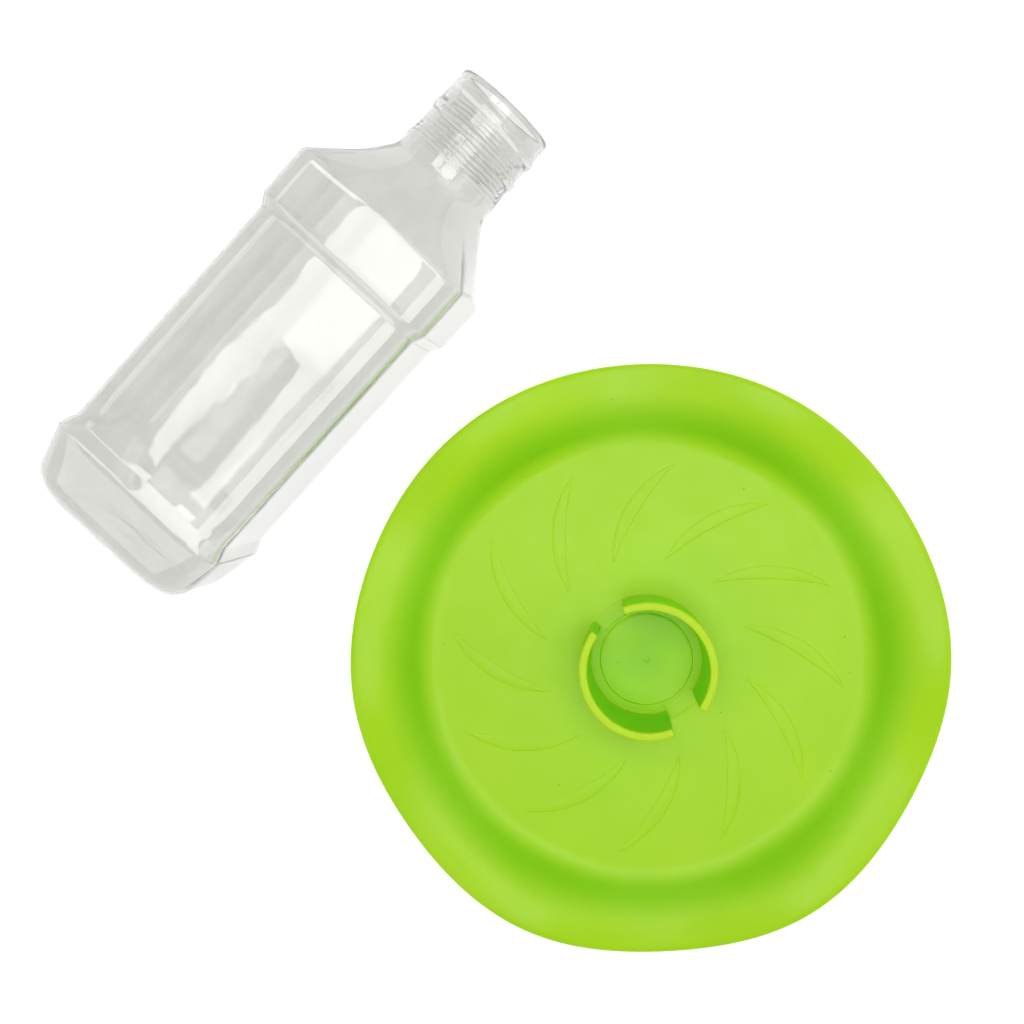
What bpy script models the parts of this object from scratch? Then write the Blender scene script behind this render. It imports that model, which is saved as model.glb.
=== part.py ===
"""Wasp trap in two mouldings: a wavy-rimmed bait dish with a split collar, and a clear bottle.

Units are metres, +Z is up. The origin is the centre of the dish's flat underside, on the ground.
+X runs along the lying bottle, from its base to its mouth, and the bottle lies on the +Y side.
"""

import math

import bmesh
import bpy
from mathutils import Vector

MM = 0.001

# Dish, measured from its axis and its underside
DISH_SEGMENTS = 72
FLOOR_THICKNESS = 2.0 * MM
FLOOR_RADIUS = 74.0 * MM
FILLET_END_RADIUS = 82.0 * MM
RIM_RADIUS = 103.6 * MM
RIM_MEAN_RISE = 7.8 * MM
RIM_WAVE_RISE = 3.7 * MM
RIM_LOBES = 6
RIM_PEAK_ANGLE = math.radians(16.7)
WALL_MEAN_SLOPE = 0.62
WALL_SLOPE_WAVE = 0.27
WALL_THICKNESS = 2.0 * MM
WALL_STEPS = 7
FILLET_STEPS = 3

# Raised disc inside the collar
DISC_RADIUS = 16.4 * MM
DISC_RISE = 0.4 * MM

# Split collar that holds the bottle's neck
COLLAR_TOP = 34.0 * MM
COLLAR_INNER_BASE = 19.6 * MM
COLLAR_INNER_TOP = 20.4 * MM
COLLAR_OUTER_BASE = 22.6 * MM
COLLAR_OUTER_TOP = 23.2 * MM
COLLAR_GAP_AXIS = math.radians(81.2)
COLLAR_GAP_ANGLE = math.radians(32.0)
COLLAR_ARC_STEPS = 28
ROOT_DEPTH = 1.0 * MM

# Twelve raised crescents, swirling on the floor
CRESCENT_COUNT = 12
CRESCENT_RISE = 0.4 * MM
CRESCENT_INNER_RADIUS = 34.9 * MM
CRESCENT_OUTER_RADIUS = 70.1 * MM
CRESCENT_INNER_ANGLE = math.radians(2.7)
CRESCENT_SWEEP = math.radians(28.5)
CRESCENT_OUTER_BOW = 7.2 * MM
CRESCENT_INNER_BOW = 2.1 * MM
CRESCENT_STEPS = 9

# Bottle, lying on one flat side, measured along X
BOTTLE_AXIS_Y = 160.6 * MM
BAND_HALF = 34.0 * MM
PANEL_HALF = 32.0 * MM
CORNER_RADIUS = 7.0 * MM
CORNER_STEPS = 4
FLAT_STEPS = 6
BOTTLE_WALL = 0.8 * MM
NECK_WALL = 1.3 * MM
MOUTH_X = 105.0 * MM
NECK_ROOT_X = 76.0 * MM
NECK_RADIUS = 18.3 * MM
NECK_ROOT_RADIUS = 18.8 * MM
SHOULDER_END_X = 51.0 * MM
SHOULDER_BAND_END_X = 32.0 * MM
PANEL_START_X = 28.0 * MM
PANEL_END_X = -61.0 * MM
BASE_BAND_X = -66.5 * MM
HEEL_X = -79.5 * MM
HEEL_HALF = 32.0 * MM
HEEL_RADIUS = 8.0 * MM
BASE_CORNER_RADIUS = 11.0 * MM
BASE_X = -87.5 * MM
HEEL_STEPS = 4
PUSH_UP_RADIUS = 22.0 * MM
PUSH_UP_DEPTH = 2.0 * MM

# Screw thread on the neck
THREAD_START_X = 100.5 * MM
THREAD_PITCH = 9.0 * MM
THREAD_TURNS = 1.9
THREAD_HEIGHT = 0.7 * MM
THREAD_HALF_WIDTH = 1.6 * MM
THREAD_STEP = 1.0 * MM
THREAD_FADE_TURNS = 0.15

DISH_COLOUR = (0.39, 0.70, 0.05, 1.0)
BOTTLE_COLOUR = (0.88, 0.89, 0.86, 1.0)


def clear_scene():
    for old in list(bpy.data.objects):
        bpy.data.objects.remove(old, do_unlink=True)


def plastic(name, colour, roughness, alpha):
    material = bpy.data.materials.new(name)
    material.use_nodes = True
    shader = material.node_tree.nodes["Principled BSDF"]
    shader.inputs["Base Color"].default_value = colour
    shader.inputs["Roughness"].default_value = roughness
    shader.inputs["Metallic"].default_value = 0.0
    shader.inputs["Alpha"].default_value = alpha
    return material


def add_mesh_object(name, points, faces, location=(0.0, 0.0, 0.0)):
    mesh = bpy.data.meshes.new(name)
    mesh.from_pydata([Vector(point) - Vector(location) for point in points], [], faces)
    work = bmesh.new()
    work.from_mesh(mesh)
    bmesh.ops.recalc_face_normals(work, faces=work.faces)
    work.to_mesh(mesh)
    work.free()
    part = bpy.data.objects.new(name, mesh)
    part.location = location
    bpy.context.scene.collection.objects.link(part)
    return part


def skin_between_rings(first_pole, rings, last_pole):
    """Points and faces of a closed skin: a pole, rings of equal count, and a second pole."""
    count = len(rings[0])
    points = [first_pole]
    for ring in rings:
        points.extend(ring)
    points.append(last_pole)
    last = len(points) - 1
    faces = []
    for i in range(count):
        j = (i + 1) % count
        faces.append((0, 1 + i, 1 + j))
        for level in range(len(rings) - 1):
            lower = 1 + level * count
            upper = lower + count
            faces.append((lower + i, upper + i, upper + j, lower + j))
        outer = 1 + (len(rings) - 1) * count
        faces.append((outer + i, last, outer + j))
    return points, faces


def polar(radius, angle, height):
    return (radius * math.cos(angle), radius * math.sin(angle), height)


def wall_rise(radius, angle):
    """Height of the dish's upper face over the floor, and its slope, at one radius and angle."""
    lobe = math.cos(RIM_LOBES * (angle - RIM_PEAK_ANGLE))
    steepest = WALL_MEAN_SLOPE + WALL_SLOPE_WAVE * lobe
    fillet_run = FILLET_END_RADIUS - FLOOR_RADIUS
    if radius <= FILLET_END_RADIUS:
        run = max(radius - FLOOR_RADIUS, 0.0)
        return steepest * run * run / (2.0 * fillet_run), steepest * run / fillet_run
    fillet_rise = steepest * fillet_run / 2.0
    flare_run = RIM_RADIUS - FILLET_END_RADIUS
    flare_rise = RIM_MEAN_RISE + RIM_WAVE_RISE * lobe - fillet_rise
    power = steepest * flare_run / flare_rise
    left = max(1.0 - (radius - FILLET_END_RADIUS) / flare_run, 0.0)
    return fillet_rise + flare_rise * (1.0 - left ** power), steepest * left ** (power - 1.0)


def dish_ring(radius, under):
    """One ring of the dish's wall, on its upper face or its underside."""
    ring = []
    for i in range(DISH_SEGMENTS):
        angle = math.tau * i / DISH_SEGMENTS
        rise, slope = wall_rise(radius, angle)
        if under:
            tilt = math.atan(slope)
            height = FLOOR_THICKNESS + rise - WALL_THICKNESS * math.cos(tilt)
            ring.append(polar(radius + WALL_THICKNESS * math.sin(tilt), angle, height))
        else:
            ring.append(polar(radius, angle, FLOOR_THICKNESS + rise))
    return ring


def flat_ring(radius, height):
    return [polar(radius, math.tau * i / DISH_SEGMENTS, height) for i in range(DISH_SEGMENTS)]


def dish_skin():
    fillet_step = (FILLET_END_RADIUS - FLOOR_RADIUS) / FILLET_STEPS
    flare_step = (RIM_RADIUS - FILLET_END_RADIUS) / WALL_STEPS
    radii = [FLOOR_RADIUS + fillet_step * i for i in range(FILLET_STEPS)]
    radii += [FILLET_END_RADIUS + flare_step * i for i in range(WALL_STEPS + 1)]
    disc_top = FLOOR_THICKNESS + DISC_RISE
    rings = [flat_ring(DISC_RADIUS, disc_top), flat_ring(DISC_RADIUS + DISC_RISE, FLOOR_THICKNESS)]
    rings += [dish_ring(radius, under=False) for radius in radii]
    rings += [dish_ring(radius, under=True) for radius in reversed(radii)]
    return skin_between_rings((0.0, 0.0, disc_top), rings, (0.0, 0.0, 0.0))


def collar_arc(start, sweep):
    """Half of the split collar, a curved wall with flat ends, as points and faces."""
    points = []
    for i in range(COLLAR_ARC_STEPS + 1):
        angle = start + sweep * i / COLLAR_ARC_STEPS
        points.append(polar(COLLAR_INNER_BASE, angle, FLOOR_THICKNESS - ROOT_DEPTH))
        points.append(polar(COLLAR_OUTER_BASE, angle, FLOOR_THICKNESS - ROOT_DEPTH))
        points.append(polar(COLLAR_OUTER_TOP, angle, COLLAR_TOP))
        points.append(polar(COLLAR_INNER_TOP, angle, COLLAR_TOP))
    faces = [(0, 1, 2, 3)]
    for i in range(COLLAR_ARC_STEPS):
        here = 4 * i
        for side in range(4):
            beside = (side + 1) % 4
            faces.append((here + side, here + 4 + side, here + 4 + beside, here + beside))
    end = 4 * COLLAR_ARC_STEPS
    faces.append((end + 3, end + 2, end + 1, end))
    return points, faces


def bowed_edge(start, end, bow):
    """Points on a circular arc from start to end that rises by bow over its chord."""
    chord = end - start
    half = chord.length / 2.0
    radius = (half * half + bow * bow) / (2.0 * bow)
    normal = Vector((-chord.y, chord.x)).normalized()
    centre = (start + end) / 2.0 + normal * (bow - radius)
    opening = math.asin(half / radius)
    edge = []
    for i in range(CRESCENT_STEPS + 1):
        turn = opening * (1.0 - 2.0 * i / CRESCENT_STEPS)
        along = -math.sin(turn) * radius
        edge.append(centre + chord.normalized() * along + normal * math.cos(turn) * radius)
    return edge


def crescent(inner_angle):
    """One raised crescent as points and faces, from its inner tip to its outer tip."""
    outer_angle = inner_angle - CRESCENT_SWEEP
    inner_tip = Vector(polar(CRESCENT_INNER_RADIUS, inner_angle, 0.0)[:2])
    outer_tip = Vector(polar(CRESCENT_OUTER_RADIUS, outer_angle, 0.0)[:2])
    full_side = bowed_edge(inner_tip, outer_tip, CRESCENT_OUTER_BOW)
    hollow_side = bowed_edge(inner_tip, outer_tip, CRESCENT_INNER_BOW)
    outline = full_side + list(reversed(hollow_side[1:-1]))
    count = len(outline)
    points = [(point.x, point.y, FLOOR_THICKNESS - ROOT_DEPTH) for point in outline]
    points += [(point.x, point.y, FLOOR_THICKNESS + CRESCENT_RISE) for point in outline]
    faces = []
    for i in range(count):
        j = (i + 1) % count
        faces.append((i, j, count + j, count + i))
    for offset in (0, count):
        faces.append((offset, offset + 1, offset + count - 1))
        for i in range(1, CRESCENT_STEPS - 1):
            faces.append((offset + i, offset + i + 1, offset + count - i - 1, offset + count - i))
        middle = offset + CRESCENT_STEPS
        faces.append((middle - 1, middle, middle + 1))
    return points, faces


def floor_details():
    """The collar's halves and the crescents, separate solids that a union adds to the dish."""
    points = []
    faces = []
    half_sweep = math.pi - COLLAR_GAP_ANGLE
    starts = [COLLAR_GAP_AXIS + COLLAR_GAP_ANGLE / 2.0 + math.pi * i for i in range(2)]
    solids = [collar_arc(start, half_sweep) for start in starts]
    for i in range(CRESCENT_COUNT):
        solids.append(crescent(CRESCENT_INNER_ANGLE + math.tau * i / CRESCENT_COUNT))
    for solid_points, solid_faces in solids:
        offset = len(points)
        points.extend(solid_points)
        faces.extend([tuple(offset + corner for corner in face) for face in solid_faces])
    return points, faces


def build_dish():
    dish = add_mesh_object("bait_dish", *dish_skin())
    details = add_mesh_object("dish_details", *floor_details())
    details.hide_render = True
    details.display_type = "WIRE"
    union = dish.modifiers.new("collar and crescents", "BOOLEAN")
    union.operation = "UNION"
    union.solver = "EXACT"
    union.object = details
    dish.data.materials.append(plastic("green_plastic", DISH_COLOUR, 0.4, 1.0))
    return dish


def rounded_square_radius(half, corner, angle):
    """Distance from the centre to a rounded square's outline along one direction."""
    across = abs(math.cos(angle))
    along = abs(math.sin(angle))
    longer = max(across, along)
    shorter = min(across, along)
    straight = half / longer
    corner_centre = half - corner
    if straight * shorter <= corner_centre:
        return straight
    reach = corner_centre * (longer + shorter)
    return reach + math.sqrt(reach * reach - 2.0 * corner_centre ** 2 + corner ** 2)


def thread_height(x, angle):
    """Height of the helical thread over the neck at one place, with faded ends."""
    height = 0.0
    for turn in range(3):
        turns = turn + angle / math.tau
        if turns > THREAD_TURNS:
            continue
        fade = min(turns, THREAD_TURNS - turns, THREAD_FADE_TURNS) / THREAD_FADE_TURNS
        offset = abs(x - (THREAD_START_X - THREAD_PITCH * turns)) / THREAD_HALF_WIDTH
        if offset < 1.0:
            height = max(height, THREAD_HEIGHT * fade * (0.5 + 0.5 * math.cos(math.pi * offset)))
    return height


def section_angles():
    """Directions of a ring's points: several round each corner, and even steps along the flats."""
    corner_centre = BAND_HALF - CORNER_RADIUS
    quarter = []
    for i in range(CORNER_STEPS + 1):
        turn = math.pi / 2.0 * i / CORNER_STEPS
        up = corner_centre + CORNER_RADIUS * math.sin(turn)
        quarter.append(math.atan2(up, corner_centre + CORNER_RADIUS * math.cos(turn)))
    flat_half_angle = quarter[0]
    for i in range(1, FLAT_STEPS):
        quarter.append(math.pi / 2.0 + flat_half_angle * (2.0 * i / FLAT_STEPS - 1.0))
    return [angle + math.pi / 2.0 * side for side in range(4) for angle in quarter]


def bottle_ring(x, radius_at):
    ring = []
    for angle in section_angles():
        radius = radius_at(angle)
        y = BOTTLE_AXIS_Y + radius * math.cos(angle)
        ring.append((x, y, BAND_HALF + radius * math.sin(angle)))
    return ring


def square_ring(x, half, corner):
    return bottle_ring(x, lambda angle: rounded_square_radius(half, corner, angle))


def round_ring(x, radius):
    return bottle_ring(x, lambda angle: radius)


def neck_ring(x):
    return bottle_ring(x, lambda angle: NECK_RADIUS + thread_height(x, angle))


def heel_rings(inset):
    """Rings that turn from the base band's side into the flat base."""
    rings = []
    for i in range(HEEL_STEPS + 1):
        turn = math.pi / 2.0 * i / HEEL_STEPS
        x = HEEL_X - (HEEL_RADIUS - inset) * math.sin(turn)
        half = HEEL_HALF - inset - (HEEL_RADIUS - inset) * (1.0 - math.cos(turn))
        rings.append(square_ring(x, half, BASE_CORNER_RADIUS - inset))
    return rings


def body_rings(inset):
    """Rings from the push-up's edge to the neck's root, on a skin set in by inset."""
    corner = CORNER_RADIUS - inset
    rings = [round_ring(BASE_X + inset, PUSH_UP_RADIUS)]
    rings += list(reversed(heel_rings(inset)))
    stations = (
        (BASE_BAND_X, BAND_HALF),
        (PANEL_END_X, PANEL_HALF),
        (PANEL_START_X, PANEL_HALF),
        (SHOULDER_BAND_END_X, BAND_HALF),
        (SHOULDER_END_X, BAND_HALF),
    )
    rings += [square_ring(x, half - inset, corner) for x, half in stations]
    return rings


def build_bottle():
    rings = body_rings(0.0)
    rings.append(round_ring(NECK_ROOT_X, NECK_ROOT_RADIUS))
    thread_span = THREAD_PITCH * THREAD_TURNS + 2.0 * THREAD_HALF_WIDTH
    thread_rows = round(thread_span / THREAD_STEP)
    for row in range(thread_rows + 1):
        rings.append(neck_ring(THREAD_START_X + THREAD_HALF_WIDTH - thread_span + row * THREAD_STEP))
    rings.append(round_ring(MOUTH_X, NECK_RADIUS))
    rings.append(round_ring(MOUTH_X, NECK_RADIUS - NECK_WALL))
    rings.append(round_ring(NECK_ROOT_X, NECK_RADIUS - NECK_WALL))
    rings += list(reversed(body_rings(BOTTLE_WALL)))
    outer_pole = (BASE_X + PUSH_UP_DEPTH, BOTTLE_AXIS_Y, BAND_HALF)
    inner_pole = (BASE_X + PUSH_UP_DEPTH + BOTTLE_WALL, BOTTLE_AXIS_Y, BAND_HALF)
    points, faces = skin_between_rings(outer_pole, rings, inner_pole)
    bottle = add_mesh_object("bait_bottle", points, faces, (0.0, BOTTLE_AXIS_Y, 0.0))
    bottle.data.materials.append(plastic("clear_plastic", BOTTLE_COLOUR, 0.08, 0.35))
    return bottle


def main():
    clear_scene()
    for part in (build_dish(), build_bottle()):
        part.data.shade_smooth()
        part.data.set_sharp_from_angle(angle=math.radians(30.0))


main()
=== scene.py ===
"""Looks of the wasp trap: a semi-gloss green bait dish and a clear bottle, on a pale floor.

Units are metres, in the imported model's frame: the dish's underside is centred on the origin and
the bottle lies along +X on the dish's +Y side. The main sizes repeat the part's own, so that each
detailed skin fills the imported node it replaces. The crescents' height, the neck's wall, the thread
and the base's corners are set here for their looks and differ a little from the part's.
"""

import math

import bmesh
import bpy
from mathutils import Matrix, Vector


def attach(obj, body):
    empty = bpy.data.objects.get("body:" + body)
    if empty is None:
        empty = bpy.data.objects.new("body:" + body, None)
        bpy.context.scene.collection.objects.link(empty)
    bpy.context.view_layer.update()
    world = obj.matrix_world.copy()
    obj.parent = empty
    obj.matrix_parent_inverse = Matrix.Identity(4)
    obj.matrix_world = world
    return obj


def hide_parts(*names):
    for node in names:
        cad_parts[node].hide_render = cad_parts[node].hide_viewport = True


MM = 0.001

# Dish, measured from its axis and its underside
DISH_SEGMENTS = 360
FLOOR_THICKNESS = 2.0 * MM
FLOOR_RADIUS = 74.0 * MM
FILLET_END_RADIUS = 82.0 * MM
RIM_RADIUS = 103.6 * MM
RIM_MEAN_RISE = 7.8 * MM
RIM_WAVE_RISE = 3.7 * MM
RIM_LOBES = 6
RIM_PEAK_ANGLE = math.radians(16.7)
WALL_MEAN_SLOPE = 0.62
WALL_SLOPE_WAVE = 0.27
WALL_THICKNESS = 2.0 * MM
LIP_WIDTH = 2.2 * MM
LIP_UNDER_WIDTH = 1.0 * MM
LIP_STEPS = 8

# Raised disc inside the collar, its edge bead and its moulding gate
DISC_RADIUS = 16.4 * MM
DISC_RISE = 0.4 * MM
DISC_EDGE_WIDTH = 0.35 * MM
BEAD_RADIUS = 15.9 * MM
BEAD_HALF_WIDTH = 0.4 * MM
BEAD_RISE = 0.12 * MM
GATE_RADIUS = 1.1 * MM
GATE_RISE = 0.12 * MM

# Thin raised pads in the collar's two gaps
PAD_INNER_RADIUS = 17.0 * MM
PAD_OUTER_RADIUS = 22.6 * MM
PAD_RISE = 0.15 * MM
PAD_EDGE = 0.25 * MM
FINE_STEP = 0.05 * MM

# Rings of the dish's upper face: shares of the gate's radius, then start, end and spacing of runs
GATE_RING_SHARES = (0.3, 0.6, 0.7, 0.8, 0.9, 1.0)
DISH_RING_RUNS = (
    (2.0 * MM, 14.0 * MM, 2.0 * MM),
    (15.2 * MM, PAD_INNER_RADIUS, 0.1 * MM),
    (PAD_INNER_RADIUS + FINE_STEP, PAD_INNER_RADIUS + PAD_EDGE, FINE_STEP),
    (18.0 * MM, 22.0 * MM, 1.0 * MM),
    (PAD_OUTER_RADIUS, PAD_OUTER_RADIUS + PAD_EDGE, FINE_STEP),
    (24.0 * MM, 72.0 * MM, 4.0 * MM),
    (FLOOR_RADIUS, RIM_RADIUS - LIP_WIDTH, 0.8 * MM),
)

# Split collar that holds the bottle's neck
COLLAR_TOP = 34.0 * MM
COLLAR_INNER_BASE = 19.6 * MM
COLLAR_INNER_TOP = 20.4 * MM
COLLAR_OUTER_BASE = 22.6 * MM
COLLAR_OUTER_TOP = 23.2 * MM
COLLAR_GAP_AXIS = math.radians(81.2)
COLLAR_GAP_ANGLE = math.radians(32.0)
COLLAR_ARC_STEPS = 90
COLLAR_EDGE_RADIUS = 0.7 * MM
COLLAR_FOOT_RADIUS = 0.6 * MM
COLLAR_END_RADIUS = 0.6 * MM
COLLAR_END_STEPS = 6
COLLAR_END_HEIGHT = 2.0 * MM
ROOT_DEPTH = 1.0 * MM

# Twelve raised crescents, swirling on the floor
CRESCENT_COUNT = 12
CRESCENT_RISE = 0.16 * MM
CRESCENT_INNER_RADIUS = 34.9 * MM
CRESCENT_OUTER_RADIUS = 70.1 * MM
CRESCENT_INNER_ANGLE = math.radians(2.7)
CRESCENT_SWEEP = math.radians(28.5)
CRESCENT_OUTER_BOW = 7.2 * MM
CRESCENT_INNER_BOW = 2.1 * MM
CRESCENT_STEPS = 40
CRESCENT_EDGE = 0.6 * MM
CRESCENT_EDGE_STEPS = 5
CRESCENT_SINK = 0.01 * MM

# Bottle, lying on one flat side, measured along X
BOTTLE_AXIS_Y = 160.6 * MM
BAND_HALF = 34.0 * MM
PANEL_HALF = 32.0 * MM
CORNER_RADIUS = 7.0 * MM
CORNER_STEPS = 12
FLAT_STEPS = 14
BOTTLE_WALL = 0.8 * MM
NECK_WALL = 1.5 * MM
MOUTH_X = 105.0 * MM
NECK_ROOT_X = 76.0 * MM
NECK_START_X = 77.0 * MM
NECK_DETAIL_X = 74.0 * MM
NECK_RADIUS = 18.3 * MM
NECK_ROOT_RADIUS = 18.8 * MM
NECK_ROOT_ROUNDING = 5.0 * MM
NECK_ROOT_LENGTH = 10.0 * MM
NECK_STEP = 0.3 * MM
SHOULDER_FOOT_X = 72.5 * MM
SHOULDER_END_X = 51.0 * MM
SHOULDER_ROUNDING = 3.0 * MM
SHOULDER_ROUND_START_X = 50.0 * MM
SHOULDER_ROUND_END_X = 73.0 * MM
SHOULDER_ARCH = 1.3 * MM
SHOULDER_ARCH_LENGTH = 8.0 * MM
SHOULDER_BAND_END_X = 32.0 * MM
SHOULDER_STEP_ROUNDING = 0.9 * MM
PANEL_START_X = 28.0 * MM
PANEL_END_X = -61.0 * MM
PANEL_END_ROUNDING = 1.6 * MM
BASE_BAND_X = -66.5 * MM
BASE_BAND_ROUNDING = 1.2 * MM
HEEL_HALF = 30.6 * MM
HEEL_RADIUS = 8.5 * MM
BASE_CORNER_GROWTH = 5.0 * MM
BASE_X = -87.5 * MM
BASE_LENGTH = 12.0 * MM
LARGEST_CORNER_SHARE = 0.9
BASE_ROUND_START = 16.0 * MM
BASE_ROUND_END = 27.0 * MM
PUSH_UP_RADIUS = 22.0 * MM
PUSH_UP_EDGE_ROUNDING = 3.0 * MM
PUSH_UP_DEPTH = 2.0 * MM
PUSH_UP_FLAT_RADIUS = 7.0 * MM
PUSH_UP_FLAT_ROUNDING = 20.0 * MM
PUSH_UP_POLE_RADIUS = 0.5 * MM
LIP_ROUNDING = 2.0 * MM
LIP_RING_STEPS = 8
OUTLINE_ARC_STEP = math.radians(12.0)
OUTLINE_STEP = 2.5 * MM

# Slow waves of the blown wall: height, length along X, waves round the section, phase
WALL_WAVES = (
    (0.030 * MM, 23.0 * MM, 2.0, 0.0),
    (0.012 * MM, 13.0 * MM, -3.0, 1.3),
    (0.020 * MM, 31.0 * MM, 5.0, 0.0),
)

# Radial wrinkles of the blown base: height, wrinkles round the base, phase; and where they fade
BASE_WRINKLES = (
    (0.018 * MM, 34.0, 0.0),
    (0.012 * MM, 21.0, 0.8),
)
WRINKLE_INNER_FADE = (4.0 * MM, 12.0 * MM)
WRINKLE_OUTER_FADE = (24.0 * MM, 33.0 * MM)
WRINKLE_HEEL_FADE = (BASE_X + 1.0 * MM, BASE_X + 5.0 * MM)

# Screw thread on the neck
THREAD_START_X = 100.5 * MM
THREAD_PITCH = 9.0 * MM
THREAD_TURNS = 1.9
THREAD_HEIGHT = 0.75 * MM
THREAD_HALF_WIDTH = 2.3 * MM
THREAD_FADE_TURNS = 0.12

# Fine shrink lines round the neck's root
RIB_PITCH = 1.6 * MM
RIB_HEIGHT = 0.13 * MM
RIB_START_X = 77.0 * MM
RIB_END_X = 99.0 * MM
RIB_FADE = 4.0 * MM
RIB_MEAN_STRENGTH = 0.6
RIB_STRENGTH_WAVE = 0.4
RIB_STRENGTH_TURNS = 5.0

# How the shrink lines wander: strength, waves round the neck, waves along it
RIB_DRIFTS = (
    (1.0, 3.0, 0.0),
    (0.8, 7.0, 1.0),
)

# Camera, from above the lying bottle's neck side; the shift is in image widths
CAMERA_PLACE = Vector((45.06, 58.5, 531.0)) * MM
CAMERA_RIGHT = Vector((0.6756, -0.73421, -0.06712))
CAMERA_UP = Vector((0.73332, 0.6786, -0.04187))
CAMERA_BACK = Vector((0.07629, -0.02094, 0.99687))
CAMERA_LENS = 52.734
SENSOR_WIDTH = 36.0
CAMERA_SHIFT = (0.0017, 0.0036)

# Softboxes: name, place, target, width, depth and radiance. The three strips are mirrored in the
# bottle's flat upper side, as a long bright patch with a darker wedge at its base end. The other
# lamps are placed for the dish and for the bottle's curved edges, shoulder and neck.
SOFTBOXES = (
    ("overhead_lamp", (-0.03, -0.07, 1.30), (-0.03, -0.07, 0.0), 0.60, 0.70, 3.1),
    ("strip_lamp", (0.065, 0.407, 1.30), (0.065, 0.407, 0.0), 0.37, 0.094, 3.6),
    ("strip_low_edge", (-0.22, 0.372, 1.30), (-0.22, 0.372, 0.0), 0.20, 0.024, 3.6),
    ("strip_high_edge", (-0.22, 0.442, 1.30), (-0.22, 0.442, 0.0), 0.20, 0.024, 3.6),
    ("far_lamp", (-0.10, 0.80, 1.30), (-0.10, 0.80, 0.0), 0.46, 0.34, 1.8),
    ("neck_lamp", (0.295, 0.635, 1.30), (0.295, 0.635, 0.0), 0.31, 0.33, 3.6),
    ("mouth_lamp", (0.44, 0.08, 1.30), (0.44, 0.08, 0.0), 0.32, 0.76, 2.8),
    ("base_lamp", (-1.15, 0.42, 1.30), (-0.05, 0.16, 0.0), 1.00, 0.60, 1.3),
    ("key_lamp", (0.78, -0.66, 0.85), (0.0, 0.03, 0.0), 1.20, 1.20, 0.55),
)

# Studio surroundings
FLOOR_HALF = 3.0
HORIZON_START = 0.15
HORIZON_END = 0.45
COVE_RADIANCE = (0.58, 0.58, 0.57, 1.0)
CEILING_RADIANCE = (0.29, 0.29, 0.285, 1.0)
FLOOR_GLOW = 0.58
LIGHT_BOUNCES = 24

# Green plastic: its clouds and mottle, specks, painted shade in the fold, at the disc's centre and on the
# collar's walls, and a painted highlight on the collar's top edge
GREEN_BASE = (0.430, 0.790, 0.006, 1.0)
GREEN_DEEPER = (0.405, 0.770, 0.005, 1.0)
GREEN_LIGHTER = (0.455, 0.805, 0.008, 1.0)
GREEN_SPECK = (0.12, 0.26, 0.01, 1.0)
GREEN_FOLD_SHADE = (0.270, 0.680, 0.0005, 1.0)
GREEN_DISC_CENTRE_SHADE = (0.330, 0.700, 0.004, 1.0)
GREEN_COLLAR_WALL_SHADE = (0.250, 0.800, 0.0005, 1.0)
GREEN_COLLAR_EDGE_HIGHLIGHT = (0.530, 0.830, 0.004, 1.0)
MOTTLE_SHARE = 0.35
DISC_CENTRE_SHADE_SHARE = 0.6
CREASE_ROUGHNESS = 0.35
CREASE_START = 75.0 * MM
CREASE_PEAK = 82.5 * MM
CREASE_END = 95.0 * MM

# Where the painted shade on the collar's walls and the painted highlight on its top edge run out: off the
# wall's faces, over its foot and under its top
SHADE_MARGIN_FAR = 1.0 * MM
SHADE_MARGIN_NEAR = 0.3 * MM
SHADE_FOOT_START = 1.0 * MM
SHADE_FOOT_END = 9.0 * MM
SHADE_TOP_START = 0.4 * MM
SHADE_TOP_END = 3.0 * MM
EDGE_HIGHLIGHT_START = 1.5 * MM
EDGE_HIGHLIGHT_END = 0.3 * MM

# Noises: scale in features per metre, and detail
CLOUD_NOISE = (28.0, 3.0)
MOTTLE_NOISE = (420.0, 4.0)
GREEN_GLOSS_NOISE = (160.0, 5.0)
GREEN_WAVE_NOISE = (45.0, 2.0)
GREEN_GRAIN_NOISE = (2600.0, 3.0)
HAZE_NOISE = (55.0, 4.0)
LINE_BREAK_NOISE = (90.0, 2.0)
CLEAR_GLOSS_NOISE = (60.0, 2.0)
CLEAR_RIPPLE_NOISE = (70.0, 2.0)
FLOOR_NOISE = (6.0, 3.0)

# Clear plastic and floor
CLEAR_DARKER = (0.765, 0.765, 0.745, 1.0)
CLEAR_LIGHTER = (0.805, 0.805, 0.79, 1.0)
CLEAR_LINE = (0.56, 0.56, 0.545, 1.0)
CLEAR_SHADOW = (0.96, 0.96, 0.955, 1.0)
LINE_FADE_IN = 4.0 * MM
LINE_FADE_OUT = 5.0 * MM
FLOOR_DARKER = (0.610, 0.610, 0.610, 1.0)
FLOOR_LIGHTER = (0.630, 0.630, 0.630, 1.0)


def add_mesh_object(name, points, faces, material, sharp_angle=38.0):
    """A smooth-shaded object whose edges stay sharp above the given angle in degrees."""
    mesh = bpy.data.meshes.new(name)
    mesh.from_pydata(points, [], faces)
    work = bmesh.new()
    work.from_mesh(mesh)
    bmesh.ops.recalc_face_normals(work, faces=work.faces)
    work.to_mesh(mesh)
    work.free()
    mesh.materials.append(material)
    mesh.shade_smooth()
    mesh.set_sharp_from_angle(angle=math.radians(sharp_angle))
    piece = bpy.data.objects.new(name, mesh)
    bpy.context.scene.collection.objects.link(piece)
    return piece


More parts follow.
